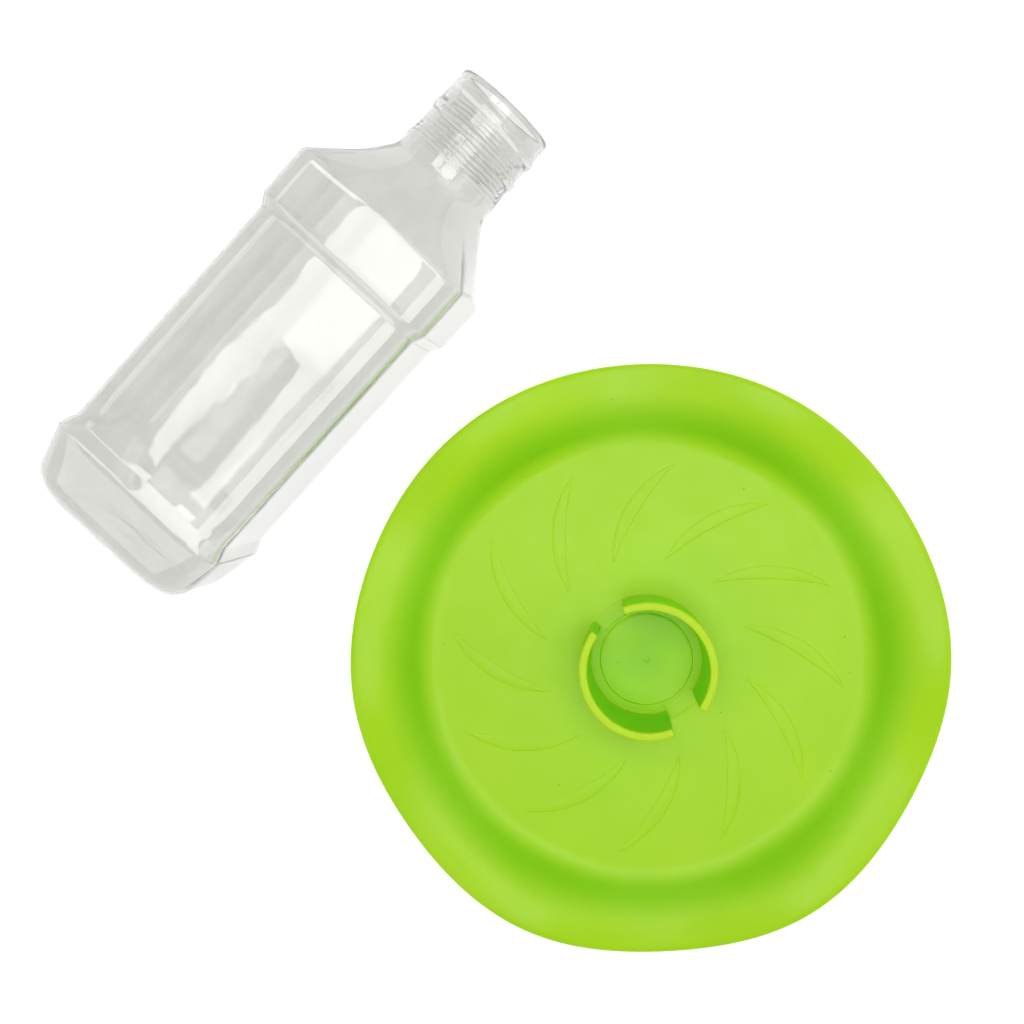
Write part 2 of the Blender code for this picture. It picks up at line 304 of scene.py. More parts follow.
def skin_between_rings(first_pole, rings, last_pole):
    """Points and faces of a closed skin: a pole, rings of equal count, and a second pole."""
    count = len(rings[0])
    points = [first_pole]
    for ring in rings:
        points.extend(ring)
    points.append(last_pole)
    last = len(points) - 1
    faces = []
    for i in range(count):
        j = (i + 1) % count
        faces.append((0, 1 + i, 1 + j))
        for level in range(len(rings) - 1):
            lower = 1 + level * count
            upper = lower + count
            faces.append((lower + i, upper + i, upper + j, lower + j))
        outer = 1 + (len(rings) - 1) * count
        faces.append((outer + i, last, outer + j))
    return points, faces


def polar(radius, angle, height):
    """The point at a distance and direction from the dish's axis."""
    return (radius * math.cos(angle), radius * math.sin(angle), height)


def smooth_step(value, start, end):
    """0 up to start, 1 from end on, with a smooth run between them."""
    share = min(max((value - start) / (end - start), 0.0), 1.0)
    return share * share * (3.0 - 2.0 * share)


def spaced(start, end, step):
    """Evenly spaced values from start to end, both included, no further apart than step."""
    count = max(math.ceil(abs(end - start) / step), 1)
    return [start + (end - start) * i / count for i in range(count + 1)]


# ---------------------------------------------------------------- dish


def wall_rise(radius, angle):
    """Height of the dish's upper face over the floor, and its slope, at one radius and angle."""
    lobe = math.cos(RIM_LOBES * (angle - RIM_PEAK_ANGLE))
    steepest = WALL_MEAN_SLOPE + WALL_SLOPE_WAVE * lobe
    fillet_run = FILLET_END_RADIUS - FLOOR_RADIUS
    if radius <= FILLET_END_RADIUS:
        run = max(radius - FLOOR_RADIUS, 0.0)
        return steepest * run * run / (2.0 * fillet_run), steepest * run / fillet_run
    fillet_rise = steepest * fillet_run / 2.0
    flare_run = RIM_RADIUS - FILLET_END_RADIUS
    flare_rise = RIM_MEAN_RISE + RIM_WAVE_RISE * lobe - fillet_rise
    power = steepest * flare_run / flare_rise
    left = max(1.0 - (radius - FILLET_END_RADIUS) / flare_run, 0.0)
    return fillet_rise + flare_rise * (1.0 - left ** power), steepest * left ** (power - 1.0)


def gap_share(angle):
    """1 in the middle of a collar gap, 0 under the collar's walls, soft between them."""
    turned = abs((angle - COLLAR_GAP_AXIS + math.pi / 2.0) % math.pi - math.pi / 2.0)
    return 1.0 - smooth_step(turned, COLLAR_GAP_ANGLE * 0.5, COLLAR_GAP_ANGLE * 0.6)


def floor_height(radius, angle):
    """Height of the dish's floor with its gate, disc, bead and pads."""
    height = FLOOR_THICKNESS
    if radius < PAD_INNER_RADIUS:
        on_disc = 1.0 - smooth_step(radius, DISC_RADIUS - DISC_EDGE_WIDTH, DISC_RADIUS)
        height += DISC_RISE * on_disc
        height += GATE_RISE * (1.0 - smooth_step(radius, GATE_RADIUS * 0.6, GATE_RADIUS))
        offset = min(abs(radius - BEAD_RADIUS) / BEAD_HALF_WIDTH, 1.0)
        height += BEAD_RISE * (0.5 + 0.5 * math.cos(math.pi * offset))
    elif radius < PAD_OUTER_RADIUS + PAD_EDGE:
        inner = smooth_step(radius, PAD_INNER_RADIUS, PAD_INNER_RADIUS + PAD_EDGE)
        outer = 1.0 - smooth_step(radius, PAD_OUTER_RADIUS, PAD_OUTER_RADIUS + PAD_EDGE)
        height += PAD_RISE * min(inner, outer) * gap_share(angle)
    return height


def lip_share(radius, width):
    """How much of half the wall's thickness the rounded lip takes off at one radius."""
    inward = max((radius - (RIM_RADIUS - width)) / width, 0.0)
    return 1.0 - math.sqrt(max(1.0 - inward * inward, 0.0))


def dish_point(radius, angle, under):
    """A point of the dish's upper face, or of its underside at an even wall."""
    rise, slope = wall_rise(radius, angle)
    if under:
        tilt = math.atan(slope)
        height = FLOOR_THICKNESS + rise - WALL_THICKNESS * math.cos(tilt)
        height += WALL_THICKNESS / 2.0 * lip_share(radius, LIP_UNDER_WIDTH)
        reach = min(radius + WALL_THICKNESS * math.sin(tilt), RIM_RADIUS)
        return polar(reach, angle, height)
    height = floor_height(radius, angle) + rise - WALL_THICKNESS / 2.0 * lip_share(radius, LIP_WIDTH)
    return polar(radius, angle, height)


def dish_ring(radius, under):
    """One ring of the dish's skin."""
    angles = [math.tau * i / DISH_SEGMENTS for i in range(DISH_SEGMENTS)]
    return [dish_point(radius, angle, under) for angle in angles]


def lip_radii(width):
    """Radii that follow the lip's rounding evenly, up to the rim."""
    turns = [math.pi / 2.0 * i / LIP_STEPS for i in range(LIP_STEPS + 1)]
    return [RIM_RADIUS - width + width * math.sin(turn) for turn in turns]


def build_dish_shell(material):
    """The dish's skin; its rings are closest where the disc, the pads and the lip need them."""
    radii = [GATE_RADIUS * share for share in GATE_RING_SHARES]
    for start, end, step in DISH_RING_RUNS:
        radii += spaced(start, end, step)
    radii += lip_radii(LIP_WIDTH)[1:]
    under_radii = spaced(10.0 * MM, FLOOR_RADIUS, 8.0 * MM)
    under_radii += spaced(FLOOR_RADIUS, RIM_RADIUS - LIP_UNDER_WIDTH, 1.0 * MM)[1:]
    under_radii += lip_radii(LIP_UNDER_WIDTH)[1:-1]
    rings = [dish_ring(radius, under=False) for radius in radii]
    rings += [dish_ring(radius, under=True) for radius in reversed(under_radii)]
    centre_top = (0.0, 0.0, FLOOR_THICKNESS + DISC_RISE + GATE_RISE)
    points, faces = skin_between_rings(centre_top, rings, (0.0, 0.0, 0.0))
    return add_mesh_object("dish_shell", points, faces, material)


def arc_points(centre, radius, start, end, steps):
    """Points on an arc in the wall's section."""
    points = []
    for i in range(steps + 1):
        turn = start + (end - start) * i / steps
        points.append((centre[0] + radius * math.cos(turn), centre[1] + radius * math.sin(turn)))
    return points


def collar_section():
    """The collar wall's section: radius and height of each point, from its inner foot round the top."""
    quarter = math.pi / 2.0
    foot = COLLAR_FOOT_RADIUS
    edge = COLLAR_EDGE_RADIUS
    root = FLOOR_THICKNESS - ROOT_DEPTH
    section = [(COLLAR_INNER_BASE - foot, root)]
    inner_foot = (COLLAR_INNER_BASE - foot, FLOOR_THICKNESS + foot)
    section += arc_points(inner_foot, foot, -quarter, 0.0, 5)
    section += arc_points((COLLAR_INNER_TOP + edge, COLLAR_TOP - edge), edge, math.pi, quarter, 6)
    section += arc_points((COLLAR_OUTER_TOP - edge, COLLAR_TOP - edge), edge, quarter, 0.0, 6)
    outer_foot = (COLLAR_OUTER_BASE + foot, FLOOR_THICKNESS + foot)
    section += arc_points(outer_foot, foot, math.pi, math.pi + quarter, 5)
    section.append((COLLAR_OUTER_BASE + foot, root))
    return section


def collar_half(start):
    """Half of the split collar as points and faces, with its end corners rounded."""
    sweep = math.pi - COLLAR_GAP_ANGLE
    middle_radius = (COLLAR_INNER_BASE + COLLAR_OUTER_TOP) / 2.0
    end_turn = COLLAR_END_RADIUS / middle_radius
    bends = [math.pi / 2.0 * i / COLLAR_END_STEPS for i in range(COLLAR_END_STEPS)]
    insets = [1.0 - math.sin(bend) for bend in bends]
    near_turns = [end_turn * (1.0 - math.cos(bend)) for bend in bends]
    inner_turns = spaced(end_turn, sweep - end_turn, sweep / COLLAR_ARC_STEPS)
    stations = list(zip(near_turns, insets))
    stations += [(turn, 0.0) for turn in inner_turns]
    stations += [(sweep - turn, inset) for turn, inset in reversed(list(zip(near_turns, insets)))]
    section = collar_section()
    points = []
    for turn, inset in stations:
        for radius, height in section:
            drawn_in = COLLAR_END_RADIUS * inset
            side = max(min((radius - middle_radius) / drawn_in, 1.0), -1.0) if drawn_in > 0.0 else 0.0
            lowered = drawn_in * smooth_step(height, COLLAR_TOP - COLLAR_END_HEIGHT, COLLAR_TOP)
            points.append(polar(radius - side * drawn_in, start + turn, height - lowered))
    count = len(section)
    faces = [tuple(range(count))]
    for level in range(len(stations) - 1):
        lower = level * count
        for i in range(count):
            j = (i + 1) % count
            faces.append((lower + i, lower + count + i, lower + count + j, lower + j))
    last = (len(stations) - 1) * count
    faces.append(tuple(last + i for i in reversed(range(count))))
    return points, faces


def joined(solids):
    """Points and faces of several separate solids as one mesh."""
    points = []
    faces = []
    for solid_points, solid_faces in solids:
        offset = len(points)
        points.extend(solid_points)
        faces.extend([tuple(offset + corner for corner in face) for face in solid_faces])
    return points, faces


def build_collar(material):
    starts = [COLLAR_GAP_AXIS + COLLAR_GAP_ANGLE / 2.0 + math.pi * i for i in range(2)]
    points, faces = joined([collar_half(start) for start in starts])
    return add_mesh_object("dish_collar", points, faces, material)


def bowed_edge(start, end, bow):
    """Points on a circular arc from start to end that rises by bow over its chord."""
    chord = end - start
    half = chord.length / 2.0
    radius = (half * half + bow * bow) / (2.0 * bow)
    normal = Vector((-chord.y, chord.x)).normalized()
    centre = (start + end) / 2.0 + normal * (bow - radius)
    opening = math.asin(half / radius)
    edge = []
    for i in range(CRESCENT_STEPS + 1):
        turn = opening * (1.0 - 2.0 * i / CRESCENT_STEPS)
        along = -math.sin(turn) * radius
        edge.append(centre + chord.normalized() * along + normal * math.cos(turn) * radius)
    return edge


def crescent(inner_angle):
    """One raised crescent as points and faces, with soft sides and pointed tips."""
    outer_angle = inner_angle - CRESCENT_SWEEP
    inner_tip = Vector(polar(CRESCENT_INNER_RADIUS, inner_angle, 0.0)[:2])
    outer_tip = Vector(polar(CRESCENT_OUTER_RADIUS, outer_angle, 0.0)[:2])
    full_side = bowed_edge(inner_tip, outer_tip, CRESCENT_OUTER_BOW)
    hollow_side = bowed_edge(inner_tip, outer_tip, CRESCENT_INNER_BOW)
    slopes = [i / CRESCENT_EDGE_STEPS for i in range(CRESCENT_EDGE_STEPS + 1)]
    rises = slopes + slopes[::-1]
    root = FLOOR_THICKNESS - ROOT_DEPTH
    points = []
    for full, hollow in zip(full_side[1:-1], hollow_side[1:-1]):
        width = (full - hollow).length
        across = (hollow - full).normalized()
        bank = min(CRESCENT_EDGE, width * 0.45)
        peak = CRESCENT_RISE * bank / CRESCENT_EDGE
        offsets = [bank * slope for slope in slopes]
        offsets += [width - offset for offset in reversed(offsets)]
        for offset, share in zip(offsets, rises):
            place = full + across * offset
            height = FLOOR_THICKNESS + peak * smooth_step(share, 0.0, 1.0) - CRESCENT_SINK
            points.append((place.x, place.y, height))
        points.append((hollow.x, hollow.y, root))
        points.append((full.x, full.y, root))
    count = len(rises) + 2
    rings = [points[i:i + count] for i in range(0, len(points), count)]
    tip_height = FLOOR_THICKNESS - ROOT_DEPTH / 2.0
    first = (inner_tip.x, inner_tip.y, tip_height)
    last = (outer_tip.x, outer_tip.y, tip_height)
    return skin_between_rings(first, rings, last)


def build_crescents(material):
    angles = [CRESCENT_INNER_ANGLE + math.tau * i / CRESCENT_COUNT for i in range(CRESCENT_COUNT)]
    points, faces = joined([crescent(angle) for angle in angles])
    return add_mesh_object("dish_crescents", points, faces, material)


# ---------------------------------------------------------------- bottle


def rounded_square_radius(half, corner, angle):
    """Distance from the centre to a rounded square's outline along one direction."""
    across = abs(math.cos(angle))
    along = abs(math.sin(angle))
    longer = max(across, along)
    shorter = min(across, along)
    straight = half / longer
    corner_centre = half - corner
    if straight * shorter <= corner_centre:
        return straight
    reach = corner_centre * (longer + shorter)
    return reach + math.sqrt(reach * reach - 2.0 * corner_centre ** 2 + corner ** 2)


def section_angles():
    """Directions of a ring's points: several round each corner, and even steps along the flats."""
    corner_centre = BAND_HALF - CORNER_RADIUS
    quarter = []
    for i in range(CORNER_STEPS + 1):
        turn = math.pi / 2.0 * i / CORNER_STEPS
        up = corner_centre + CORNER_RADIUS * math.sin(turn)
        quarter.append(math.atan2(up, corner_centre + CORNER_RADIUS * math.cos(turn)))
    flat_half_angle = quarter[0]
    for i in range(1, FLAT_STEPS):
        quarter.append(math.pi / 2.0 + flat_half_angle * (2.0 * i / FLAT_STEPS - 1.0))
    return [angle + math.pi / 2.0 * side for side in range(4) for angle in quarter]


SECTION_ANGLES = section_angles()


def rounded_profile(corners, arc_step):
    """A line of (x, half) through corners, each rounded by its own radius, in arc steps."""
    line = [corners[0][:2]]
    for before, here, after in zip(corners, corners[1:], corners[2:]):
        corner = Vector(here[:2])
        towards = (Vector(before[:2]) - corner).normalized()
        away = (Vector(after[:2]) - corner).normalized()
        half_angle = towards.angle(away) / 2.0
        cut = here[2] / math.tan(half_angle)
        bisector = (towards + away).normalized()
        centre = corner + bisector * (here[2] / math.sin(half_angle))
        start = corner + towards * cut - centre
        turn = start.angle_signed(corner + away * cut - centre)
        steps = max(math.ceil(abs(turn) / arc_step), 2)
        for i in range(steps + 1):
            spoke = start.copy()
            spoke.rotate(Matrix.Rotation(-turn * i / steps, 2))
            line.append(tuple(centre + spoke))
    line.append(corners[-1][:2])
    return line


def filled_line(line, step):
    """The same line with points added so that no stretch is longer than step."""
    filled = [line[0]]
    for start, end in zip(line, line[1:]):
        length = math.dist(start, end)
        count = max(math.ceil(length / step), 1)
        for i in range(1, count + 1):
            filled.append(tuple(Vector(start).lerp(Vector(end), i / count)))
    return filled


def roundness(x, half):
    """0 where the section is a rounded square, 1 where it is a circle."""
    if x > 0.0:
        return smooth_step(x, SHOULDER_ROUND_START_X, SHOULDER_ROUND_END_X)
    return 1.0 - smooth_step(half, BASE_ROUND_START, BASE_ROUND_END)


def corner_share(angle):
    """0 in the middle of a flat side, 1 at a corner."""
    return math.sin(2.0 * angle) ** 2


def thread_height(x, angle):
    """Height of the helical thread over the neck at one place, fading out towards the shoulder."""
    height = 0.0
    for turn in range(math.ceil(THREAD_TURNS)):
        turns = turn + angle / math.tau
        if turns > THREAD_TURNS:
            continue
        fade = smooth_step(min(turns, THREAD_TURNS - turns), 0.0, THREAD_FADE_TURNS)
        offset = abs(x - (THREAD_START_X - THREAD_PITCH * turns)) / THREAD_HALF_WIDTH
        if offset < 1.0:
            height = max(height, THREAD_HEIGHT * fade * smooth_step(1.0 - offset, 0.0, 0.8))
    return height


def neck_rib(x, angle):
    """Depth of the fine shrink lines round the neck, broken up along the way round."""
    window = smooth_step(x, RIB_START_X, RIB_START_X + RIB_FADE)
    window *= 1.0 - smooth_step(x, RIB_END_X - RIB_FADE, RIB_END_X)
    drift = 0.0
    for amount, waves_round, waves_along in RIB_DRIFTS:
        drift += amount * math.sin(waves_round * angle + waves_along * x / RIB_PITCH)
    wave = math.cos(math.tau * x / RIB_PITCH + drift)
    strength_wave = math.sin(RIB_STRENGTH_TURNS * angle + x / (2.0 * RIB_PITCH))
    strength = RIB_MEAN_STRENGTH + RIB_STRENGTH_WAVE * strength_wave
    return RIB_HEIGHT * window * strength * (0.5 - 0.5 * wave)


def side_wave(x, angle):
    """Slight unevenness of the blown wall: shallow, slow waves over the flat sides."""
    wave = 0.0
    for height, length, waves_round, phase in WALL_WAVES:
        wave += height * math.sin(x / length + waves_round * angle + phase)
    return wave * (1.0 - corner_share(angle))


def base_wrinkle(angle, radius):
    """Radial wrinkles of the blown base, fading at the centre and at the heel."""
    window = smooth_step(radius, *WRINKLE_INNER_FADE)
    window *= 1.0 - smooth_step(radius, *WRINKLE_OUTER_FADE)
    wrinkle = 0.0
    for height, wrinkles_round, phase in BASE_WRINKLES:
        wrinkle += height * math.sin(wrinkles_round * angle + phase)
    return wrinkle * window


def shoulder_arch(x, angle):
    """How far the shoulder band's edge is drawn back towards the base at the corners."""
    start = SHOULDER_END_X - SHOULDER_ARCH_LENGTH
    return SHOULDER_ARCH * corner_share(angle) * smooth_step(x, start, SHOULDER_END_X)


def bottle_point(x, half, angle, corner, outer):
    """A point of the bottle's outer or inner skin at one place along it and round it."""
    corner += BASE_CORNER_GROWTH * (1.0 - smooth_step(x, BASE_X, PANEL_END_X))
    square = rounded_square_radius(half, min(corner, half * LARGEST_CORNER_SHARE), angle)
    round_share = roundness(x, half)
    radius = square + (half - square) * round_share
    if SHOULDER_END_X - SHOULDER_ARCH_LENGTH < x < NECK_ROOT_X:
        x -= shoulder_arch(x, angle) * (1.0 - round_share)
    if x > NECK_DETAIL_X:
        radius += thread_height(x, angle) - neck_rib(x, angle) if outer else 0.0
    elif x > BASE_X + BASE_LENGTH:
        radius -= abs(side_wave(x, angle)) * (1.0 - round_share)
    else:
        x += base_wrinkle(angle, radius) * (1.0 - smooth_step(x, *WRINKLE_HEEL_FADE))
        x = max(x, BASE_X) if outer else x
    return (x, BOTTLE_AXIS_Y + radius * math.cos(angle), BAND_HALF + radius * math.sin(angle))


def bottle_ring(x, half, corner, outer):
    """One ring of the bottle's skin, a rounded square that turns into a circle at its ends."""
    return [bottle_point(x, half, angle, corner, outer) for angle in SECTION_ANGLES]


def bottle_corners(inset):
    """The bottle's outline from its base to its neck's root: x, half width and rounding radius."""
    return [
        (BASE_X + PUSH_UP_DEPTH + inset, PUSH_UP_POLE_RADIUS, 0.0),
        (BASE_X + PUSH_UP_DEPTH + inset, PUSH_UP_FLAT_RADIUS, PUSH_UP_FLAT_ROUNDING),
        (BASE_X + inset, PUSH_UP_RADIUS, PUSH_UP_EDGE_ROUNDING),
        (BASE_X + inset, HEEL_HALF - inset, HEEL_RADIUS - inset),
        (BASE_BAND_X, BAND_HALF - inset, BASE_BAND_ROUNDING),
        (PANEL_END_X, PANEL_HALF - inset, PANEL_END_ROUNDING),
        (PANEL_START_X, PANEL_HALF - inset, SHOULDER_STEP_ROUNDING),
        (SHOULDER_BAND_END_X, BAND_HALF - inset, SHOULDER_STEP_ROUNDING),
        (SHOULDER_END_X, BAND_HALF - inset, SHOULDER_ROUNDING),
        (SHOULDER_FOOT_X, NECK_ROOT_RADIUS - inset, NECK_ROOT_ROUNDING),
    ]


def neck_line(radius, root_radius):
    """The neck's outline from its root to its lip."""
    line = [(NECK_START_X, root_radius)]
    for x in spaced(NECK_START_X + 1.0 * MM, MOUTH_X - LIP_ROUNDING, NECK_STEP):
        share = smooth_step(x, NECK_ROOT_X, NECK_ROOT_X + NECK_ROOT_LENGTH)
        line.append((x, root_radius + (radius - root_radius) * share))
    return line


def bottle_side(inset, corner, neck_radius, neck_root_radius, outer):
    """Rings of the bottle's outer or inner skin, from its base to its lip."""
    corners = bottle_corners(inset)
    corners.append((NECK_START_X, neck_root_radius, 0.0))
    line = filled_line(rounded_profile(corners, OUTLINE_ARC_STEP), OUTLINE_STEP)
    line = line[1:-1] + neck_line(neck_radius, neck_root_radius)
    return [bottle_ring(x, half, corner, outer) for x, half in line]


def lip_rings():
    """Rings round the mouth's lip, from the outer skin to the inner skin."""
    rings = []
    middle = NECK_RADIUS - NECK_WALL / 2.0
    half_wall = NECK_WALL / 2.0
    for i in range(1, LIP_RING_STEPS):
        turn = math.pi * i / LIP_RING_STEPS
        x = MOUTH_X - LIP_ROUNDING + LIP_ROUNDING * math.sin(turn)
        radius = middle + half_wall * math.cos(turn)
        rings.append(bottle_ring(x, radius, CORNER_RADIUS, outer=False))
    return rings


def build_bottle(material):
    """The bottle's one closed skin: up the outside, over the lip and down the inside."""
    rings = bottle_side(0.0, CORNER_RADIUS, NECK_RADIUS, NECK_ROOT_RADIUS, outer=True)
    rings += lip_rings()
    inner_corner = CORNER_RADIUS - BOTTLE_WALL
    inner_radius = NECK_RADIUS - NECK_WALL
    inner_root = NECK_ROOT_RADIUS - BOTTLE_WALL
    rings += reversed(bottle_side(BOTTLE_WALL, inner_corner, inner_radius, inner_root, outer=False))
    outer_pole = (BASE_X + PUSH_UP_DEPTH, BOTTLE_AXIS_Y, BAND_HALF)
    inner_pole = (BASE_X + PUSH_UP_DEPTH + BOTTLE_WALL, BOTTLE_AXIS_Y, BAND_HALF)
    points, faces = skin_between_rings(outer_pole, rings, inner_pole)
    return add_mesh_object("bottle_shell", points, faces, material, sharp_angle=60.0)


# ---------------------------------------------------------------- materials


def new_material(name):
    """A new material with its node tree and its Principled shader."""
    material = bpy.data.materials.new(name)
    material.use_nodes = True
    tree = material.node_tree
    return material, tree, tree.nodes["Principled BSDF"]


def add_node(tree, kind, **settings):
    node = tree.nodes.new(kind)
    for key, value in settings.items():
        if key in node.inputs:
            node.inputs[key].default_value = value
        else:
            setattr(node, key, value)
    return node


def object_place(tree):
    """The shaded point's place in its own object."""
    return add_node(tree, "ShaderNodeTexCoord").outputs["Object"]


def place_along(tree, axis):
    """The shaded point's place along one axis of its object."""
    split = add_node(tree, "ShaderNodeSeparateXYZ")
    tree.links.new(object_place(tree), split.inputs["Vector"])
    return split.outputs[axis]


def noise(tree, scale, detail):
    """A noise texture in object space; scale is in features per metre."""
    texture = add_node(tree, "ShaderNodeTexNoise", Scale=scale, Detail=detail)
    tree.links.new(object_place(tree), texture.inputs["Vector"])
    return texture.outputs["Fac"]


def mapped(tree, value, low, high, from_low=0.3, from_high=0.7):
    """A value moved evenly from one range to another; a noise fills about 0.3 to 0.7."""
    node = add_node(tree, "ShaderNodeMapRange")
    node.inputs["From Min"].default_value = from_low
    node.inputs["From Max"].default_value = from_high
    node.inputs["To Min"].default_value = low
    node.inputs["To Max"].default_value = high
    tree.links.new(value, node.inputs["Value"])
    return node.outputs["Result"]


def softly_mapped(tree, value, start, end):
    """0 at start, 1 at end, with a smooth run between them."""
    node = add_node(tree, "ShaderNodeMapRange", interpolation_type="SMOOTHSTEP")
    node.inputs["From Min"].default_value = start
    node.inputs["From Max"].default_value = end
    tree.links.new(value, node.inputs["Value"])
    return node.outputs["Result"]


def blended(tree, share, first, second):
    """A colour between two others; each may be a colour or a socket."""
    node = add_node(tree, "ShaderNodeMix", data_type="RGBA")
    tree.links.new(share, node.inputs["Factor"])
    for socket, colour in ((node.inputs[6], first), (node.inputs[7], second)):
        if isinstance(colour, tuple):
            socket.default_value = colour
        else:
            tree.links.new(colour, socket)
    return node.outputs[2]


def bumped(tree, value, distance, strength, below=None):
    """A normal that follows a height, over the normal below it if there is one."""
    node = add_node(tree, "ShaderNodeBump", Strength=strength, Distance=distance)
    tree.links.new(value, node.inputs["Height"])
    if below is not None:
        tree.links.new(below, node.inputs["Normal"])
    return node.outputs["Normal"]


def combined(tree, operation, first, second):
    """A sum or product of two values; each may be a number or a socket."""
    node = add_node(tree, "ShaderNodeMath", operation=operation)
    for socket, value in zip(node.inputs, (first, second)):
        if isinstance(value, float):
            socket.default_value = value
        else:
            tree.links.new(value, socket)
    return node.outputs["Value"]


def axis_distance(tree):
    """Distance from the dish's vertical axis."""
    flat = add_node(tree, "ShaderNodeVectorMath", operation="MULTIPLY")
    flat.inputs[1].default_value = (1.0, 1.0, 0.0)
    tree.links.new(object_place(tree), flat.inputs[0])
    distance = add_node(tree, "ShaderNodeVectorMath", operation="LENGTH")
    tree.links.new(flat.outputs["Vector"], distance.inputs[0])
    return distance.outputs["Value"]


def fold_shade_and_matte_share(tree, radius):
    """1 in the fold where the dish's floor turns up into its wall, 0 away from it. It places the fold's
    painted shade and its matter finish.
    """
    rising = softly_mapped(tree, radius, CREASE_START, CREASE_PEAK)
    falling = softly_mapped(tree, radius, CREASE_END, CREASE_PEAK)
    return combined(tree, "MULTIPLY", rising, falling)


def collar_wall_shade_share(tree, radius, height):
    """Where the collar's walls get painted shade: 1 on the collar's walls, 0 on its top edge and
    everywhere else on the dish.
    """
    inner = COLLAR_INNER_BASE
    outer = COLLAR_OUTER_TOP
    foot = FLOOR_THICKNESS
    outside = softly_mapped(tree, radius, inner - SHADE_MARGIN_FAR, inner - SHADE_MARGIN_NEAR)
    inside = softly_mapped(tree, radius, outer + SHADE_MARGIN_FAR, outer + SHADE_MARGIN_NEAR)
    over_foot = softly_mapped(tree, height, foot + SHADE_FOOT_START, foot + SHADE_FOOT_END)
    under_top = softly_mapped(tree, height, COLLAR_TOP - SHADE_TOP_START, COLLAR_TOP - SHADE_TOP_END)
    ring = combined(tree, "MULTIPLY", outside, inside)
    return combined(tree, "MULTIPLY", ring, combined(tree, "MULTIPLY", over_foot, under_top))


def shrink_lines(tree):
    """Share of the fine dark lines that run round the neck, broken up by noise."""
    along = place_along(tree, "X")
    rising = softly_mapped(tree, along, RIB_START_X, RIB_START_X + LINE_FADE_IN)
    falling = softly_mapped(tree, along, RIB_END_X, RIB_END_X - LINE_FADE_OUT)
    lines = add_node(tree, "ShaderNodeTexWave", Scale=200.0, Distortion=2.2, Detail=2.0)
    lines.inputs["Detail Scale"].default_value = 0.6
    tree.links.new(object_place(tree), lines.inputs["Vector"])
    thin = softly_mapped(tree, lines.outputs["Fac"], 0.62, 0.98)
    broken = mapped(tree, noise(tree, *LINE_BREAK_NOISE), 0.0, 0.9, 0.34, 0.56)
    window = combined(tree, "MULTIPLY", rising, falling)
    return combined(tree, "MULTIPLY", combined(tree, "MULTIPLY", thin, broken), window)


def speck_share(tree):
    """1 in a few small specks, 0 elsewhere."""
    cells = add_node(tree, "ShaderNodeTexVoronoi", Scale=95.0)
    tree.links.new(object_place(tree), cells.inputs["Vector"])
    return mapped(tree, cells.outputs["Distance"], 0.55, 0.0, 0.022, 0.034)


def green_colour(tree, radius, fold_shade_and_matte):
    """Cloudy green with specks; painted shade in the fold, at the disc's centre and on the collar's walls,
    and a painted highlight on the collar's top edge.
    """
    height = place_along(tree, "Z")
    cloud = mapped(tree, noise(tree, *CLOUD_NOISE), 0.0, 1.0)
    mottle = mapped(tree, noise(tree, *MOTTLE_NOISE), 0.0, 1.0)
    mottle_share = mapped(tree, mottle, 0.0, MOTTLE_SHARE, 0.0, 1.0)
    centre_shade_fade = softly_mapped(tree, radius, 12.0 * MM, 1.0 * MM)
    disc_centre_shade = combined(tree, "MULTIPLY", centre_shade_fade, DISC_CENTRE_SHADE_SHARE)
    collar_edge_highlight = softly_mapped(tree, height, COLLAR_TOP - EDGE_HIGHLIGHT_START, COLLAR_TOP - EDGE_HIGHLIGHT_END)
    colour = blended(tree, cloud, GREEN_DEEPER, GREEN_LIGHTER)
    colour = blended(tree, mottle_share, colour, GREEN_BASE)
    colour = blended(tree, speck_share(tree), colour, GREEN_SPECK)
    # Painted shade in the fold where the floor turns up into the wall
    colour = blended(tree, fold_shade_and_matte, colour, GREEN_FOLD_SHADE)
    # Painted shade over the disc's centre, where the collar round it keeps light off
    colour = blended(tree, disc_centre_shade, colour, GREEN_DISC_CENTRE_SHADE)
    # Painted shade on the collar's walls
    colour = blended(tree, collar_wall_shade_share(tree, radius, height), colour, GREEN_COLLAR_WALL_SHADE)
    # Painted highlight along the collar's top edge
    return blended(tree, collar_edge_highlight, colour, GREEN_COLLAR_EDGE_HIGHLIGHT)


def green_plastic():
    """Semi-gloss moulded plastic with a fine grain, matter in the dish's fold."""
    material, tree, shader = new_material("green_plastic_looks")
    radius = axis_distance(tree)
    fold_shade_and_matte = fold_shade_and_matte_share(tree, radius)
    tree.links.new(green_colour(tree, radius, fold_shade_and_matte), shader.inputs["Base Color"])
    matte = combined(tree, "MULTIPLY", fold_shade_and_matte, CREASE_ROUGHNESS)
    roughness = combined(tree, "ADD", mapped(tree, noise(tree, *GREEN_GLOSS_NOISE), 0.30, 0.40), matte)
    tree.links.new(roughness, shader.inputs["Roughness"])
    shader.inputs["IOR"].default_value = 1.49
    shader.inputs["Specular IOR Level"].default_value = 0.31
    waves = bumped(tree, noise(tree, *GREEN_WAVE_NOISE), 0.10 * MM, 0.35)
    grain = bumped(tree, noise(tree, *GREEN_GRAIN_NOISE), 0.012 * MM, 0.5, waves)
    tree.links.new(grain, shader.inputs["Normal"])
    return material


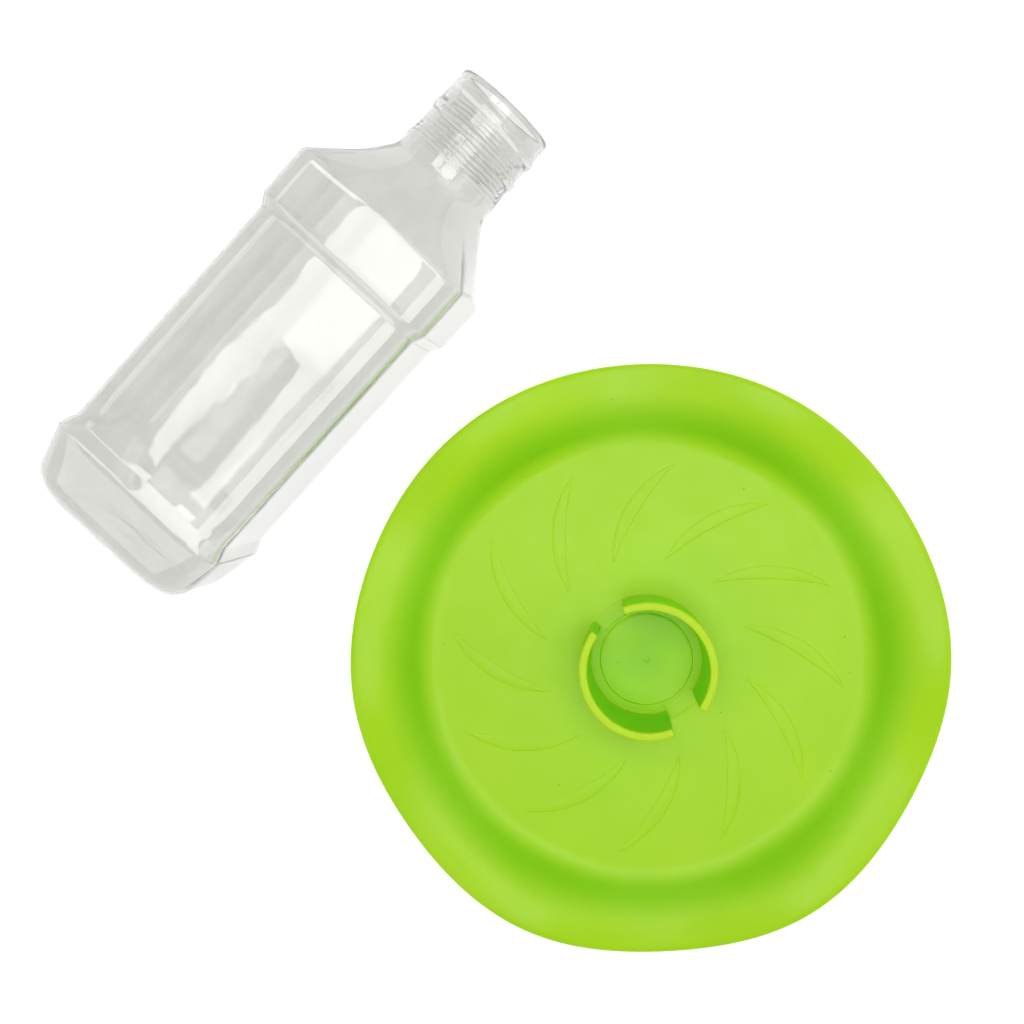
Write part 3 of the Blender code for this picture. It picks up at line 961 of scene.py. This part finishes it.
def clear_plastic():
    """Blown clear plastic: glassy, faintly grey, with slow ripples. It casts a nearly clear shadow."""
    material, tree, shader = new_material("clear_plastic_looks")
    haze = mapped(tree, noise(tree, *HAZE_NOISE), 0.0, 1.0)
    colour = blended(tree, haze, CLEAR_DARKER, CLEAR_LIGHTER)
    colour = blended(tree, shrink_lines(tree), colour, CLEAR_LINE)
    tree.links.new(colour, shader.inputs["Base Color"])
    shader.inputs["Transmission Weight"].default_value = 0.93
    shader.inputs["IOR"].default_value = 1.52
    tree.links.new(mapped(tree, noise(tree, *CLEAR_GLOSS_NOISE), 0.012, 0.035), shader.inputs["Roughness"])
    ripples = bumped(tree, noise(tree, *CLEAR_RIPPLE_NOISE), 0.05 * MM, 0.30)
    tree.links.new(ripples, shader.inputs["Normal"])
    clear = add_node(tree, "ShaderNodeBsdfTransparent", Color=CLEAR_SHADOW)
    light_path = add_node(tree, "ShaderNodeLightPath")
    mix = add_node(tree, "ShaderNodeMixShader")
    tree.links.new(light_path.outputs["Is Shadow Ray"], mix.inputs["Fac"])
    tree.links.new(shader.outputs["BSDF"], mix.inputs[1])
    tree.links.new(clear.outputs["BSDF"], mix.inputs[2])
    output = tree.nodes["Material Output"]
    tree.links.new(mix.outputs["Shader"], output.inputs["Surface"])
    return material


def floor_paint():
    """Pale matt paint that glows a little, as a light table does."""
    material, tree, shader = new_material("floor_paint")
    share = mapped(tree, noise(tree, *FLOOR_NOISE), 0.0, 1.0)
    colour = blended(tree, share, FLOOR_DARKER, FLOOR_LIGHTER)
    tree.links.new(colour, shader.inputs["Base Color"])
    shader.inputs["Roughness"].default_value = 0.8
    shader.inputs["Specular IOR Level"].default_value = 0.1
    shader.inputs["Emission Color"].default_value = (1.0, 1.0, 1.0, 1.0)
    shader.inputs["Emission Strength"].default_value = FLOOR_GLOW
    return material


# ---------------------------------------------------------------- studio


def add_floor():
    signs = ((-1, -1), (1, -1), (1, 1), (-1, 1))
    corners = [(across * FLOOR_HALF, along * FLOOR_HALF, 0.0) for across, along in signs]
    floor = add_mesh_object("studio_floor", corners, [(0, 1, 2, 3)], floor_paint())


def add_softbox(name, place, target, width, depth, radiance):
    """A rectangular lamp that faces the target and shines evenly at the given radiance."""
    lamp = bpy.data.lights.new(name, "AREA")
    lamp.shape = "RECTANGLE"
    lamp.size = width
    lamp.size_y = depth
    lamp.energy = radiance * math.pi * width * depth
    holder = bpy.data.objects.new(name, lamp)
    aim = (Vector(target) - Vector(place)).to_track_quat("-Z", "Y").to_matrix().to_4x4()
    holder.matrix_world = Matrix.Translation(place) @ aim
    bpy.context.scene.collection.objects.link(holder)


def add_world():
    """A dim ceiling with a bright band round the horizon, as in a white studio cove."""
    world = bpy.data.worlds.new("studio")
    bpy.context.scene.world = world
    world.use_nodes = True
    tree = world.node_tree
    place = add_node(tree, "ShaderNodeTexCoord")
    split = add_node(tree, "ShaderNodeSeparateXYZ")
    tree.links.new(place.outputs["Generated"], split.inputs["Vector"])
    height = mapped(tree, split.outputs["Z"], 0.0, 1.0, HORIZON_START, HORIZON_END)
    colour = blended(tree, height, COVE_RADIANCE, CEILING_RADIANCE)
    tree.links.new(colour, tree.nodes["Background"].inputs["Color"])


def add_lights():
    for softbox in SOFTBOXES:
        add_softbox(*softbox)


def set_light_paths():
    """Plain colours, and enough bounces to see through all of the bottle's walls."""
    scene = bpy.context.scene
    scene.view_settings.view_transform = "Standard"
    scene.cycles.max_bounces = LIGHT_BOUNCES
    scene.cycles.transmission_bounces = LIGHT_BOUNCES
    scene.cycles.glossy_bounces = LIGHT_BOUNCES


def add_camera():
    camera = bpy.data.cameras.new("camera")
    camera.lens = CAMERA_LENS
    camera.sensor_width = SENSOR_WIDTH
    camera.shift_x, camera.shift_y = CAMERA_SHIFT
    camera.clip_start = 0.01
    holder = bpy.data.objects.new("camera", camera)
    turn = Matrix((CAMERA_RIGHT, CAMERA_UP, CAMERA_BACK)).transposed().to_4x4()
    holder.matrix_world = Matrix.Translation(CAMERA_PLACE) @ turn
    bpy.context.scene.collection.objects.link(holder)
    bpy.context.scene.camera = holder


# ---------------------------------------------------------------- the scene

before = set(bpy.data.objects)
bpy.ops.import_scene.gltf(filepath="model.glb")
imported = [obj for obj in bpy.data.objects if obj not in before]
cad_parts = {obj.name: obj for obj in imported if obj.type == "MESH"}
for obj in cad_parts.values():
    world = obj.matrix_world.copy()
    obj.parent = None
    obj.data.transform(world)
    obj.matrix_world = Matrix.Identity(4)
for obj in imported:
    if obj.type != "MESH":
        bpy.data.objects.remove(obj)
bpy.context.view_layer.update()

add_camera()
add_floor()
add_world()
add_lights()
set_light_paths()

green = green_plastic()
clear = clear_plastic()
dish_shell = build_dish_shell(green)
dish_collar = build_collar(green)
dish_crescents = build_crescents(green)
for piece in (dish_shell, dish_collar, dish_crescents):
    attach(piece, "dish")
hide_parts("bait_dish")

bottle_shell = build_bottle(clear)
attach(bottle_shell, "bottle")
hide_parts("bait_bottle")
